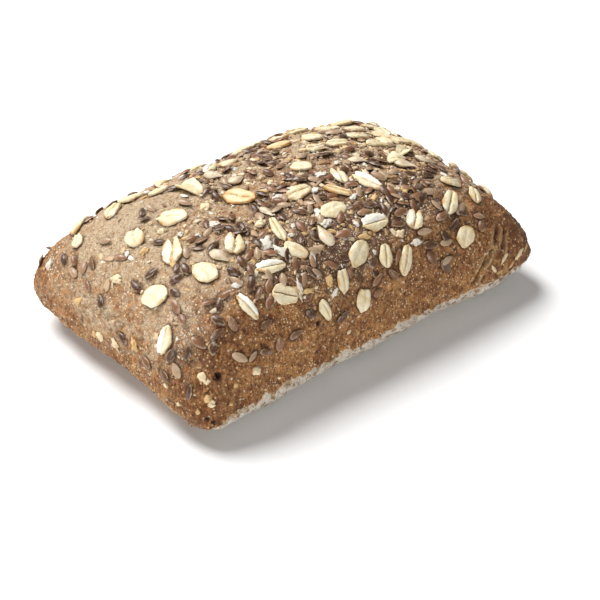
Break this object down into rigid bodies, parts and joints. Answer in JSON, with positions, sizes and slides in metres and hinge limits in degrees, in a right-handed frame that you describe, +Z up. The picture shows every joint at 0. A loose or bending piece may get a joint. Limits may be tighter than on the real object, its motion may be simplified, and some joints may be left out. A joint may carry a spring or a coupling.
{
  "type": "multigrain ciabatta roll",
  "caption": "Pillow-shaped multigrain ciabatta roll with a flat floury base, its crust strewn with rolled oat flakes, sunflower kernels and linseeds.",
  "frame": {"origin": "on the surface that the loaf rests on, under the middle of its bounding box", "axes": "+X along the loaf's length, +Y across it, +Z up from its flat base"},
  "size_m": [0.1346, 0.0876, 0.046],
  "materials": {
    "crust": "matt baked crust, dusted with flour and bran",
    "oat": "matt rolled oat flake",
    "toasted_oat": "matt rolled oat flake, toasted amber",
    "kernel": "satin sunflower kernel",
    "linseed": "satin brown linseed"
  },
  "bodies": {
    "root": {"loaf": "crust", "oat_flake_01": "oat", "oat_flake_02": "oat", "oat_flake_03": "oat", "oat_flake_04": "oat", "oat_flake_05": "oat", "oat_flake_06": "oat", "oat_flake_07": "oat", "oat_flake_08": "oat", "oat_flake_09": "oat", "oat_flake_10": "oat", "oat_flake_11": "oat", "oat_flake_12": "oat", "oat_flake_13": "oat", "oat_flake_14": "oat", "oat_flake_15": "oat", "oat_flake_16": "oat", "oat_flake_17": "oat", "oat_flake_18": "oat", "oat_flake_19": "oat", "oat_flake_20": "oat", "oat_flake_21": "oat", "oat_flake_22": "oat", "oat_flake_23": "oat", "oat_flake_24": "oat", "oat_flake_25": "oat", "oat_flake_26": "oat", "oat_flake_27": "oat", "oat_flake_28": "oat", "oat_flake_29": "oat", "oat_flake_30": "oat", "oat_flake_31": "oat", "oat_flake_32": "oat", "oat_flake_33": "oat", "oat_flake_34": "oat", "oat_flake_35": "oat", "oat_flake_36": "oat", "oat_flake_37": "oat", "oat_flake_38": "oat", "oat_flake_39": "oat", "oat_flake_40": "oat", "oat_flake_41": "oat", "oat_flake_42": "oat", "oat_flake_43": "oat", "oat_flake_44": "oat", "toasted_oat_flake_01": "toasted_oat", "toasted_oat_flake_02": "toasted_oat", "toasted_oat_flake_03": "toasted_oat", "toasted_oat_flake_04": "toasted_oat", "sunflower_kernel_01": "kernel", "sunflower_kernel_02": "kernel", "sunflower_kernel_03": "kernel", "sunflower_kernel_04": "kernel", "sunflower_kernel_05": "kernel", "sunflower_kernel_06": "kernel", "sunflower_kernel_07": "kernel", "sunflower_kernel_08": "kernel", "sunflower_kernel_09": "kernel", "sunflower_kernel_10": "kernel", "sunflower_kernel_11": "kernel"}
  },
  "joints": []
}
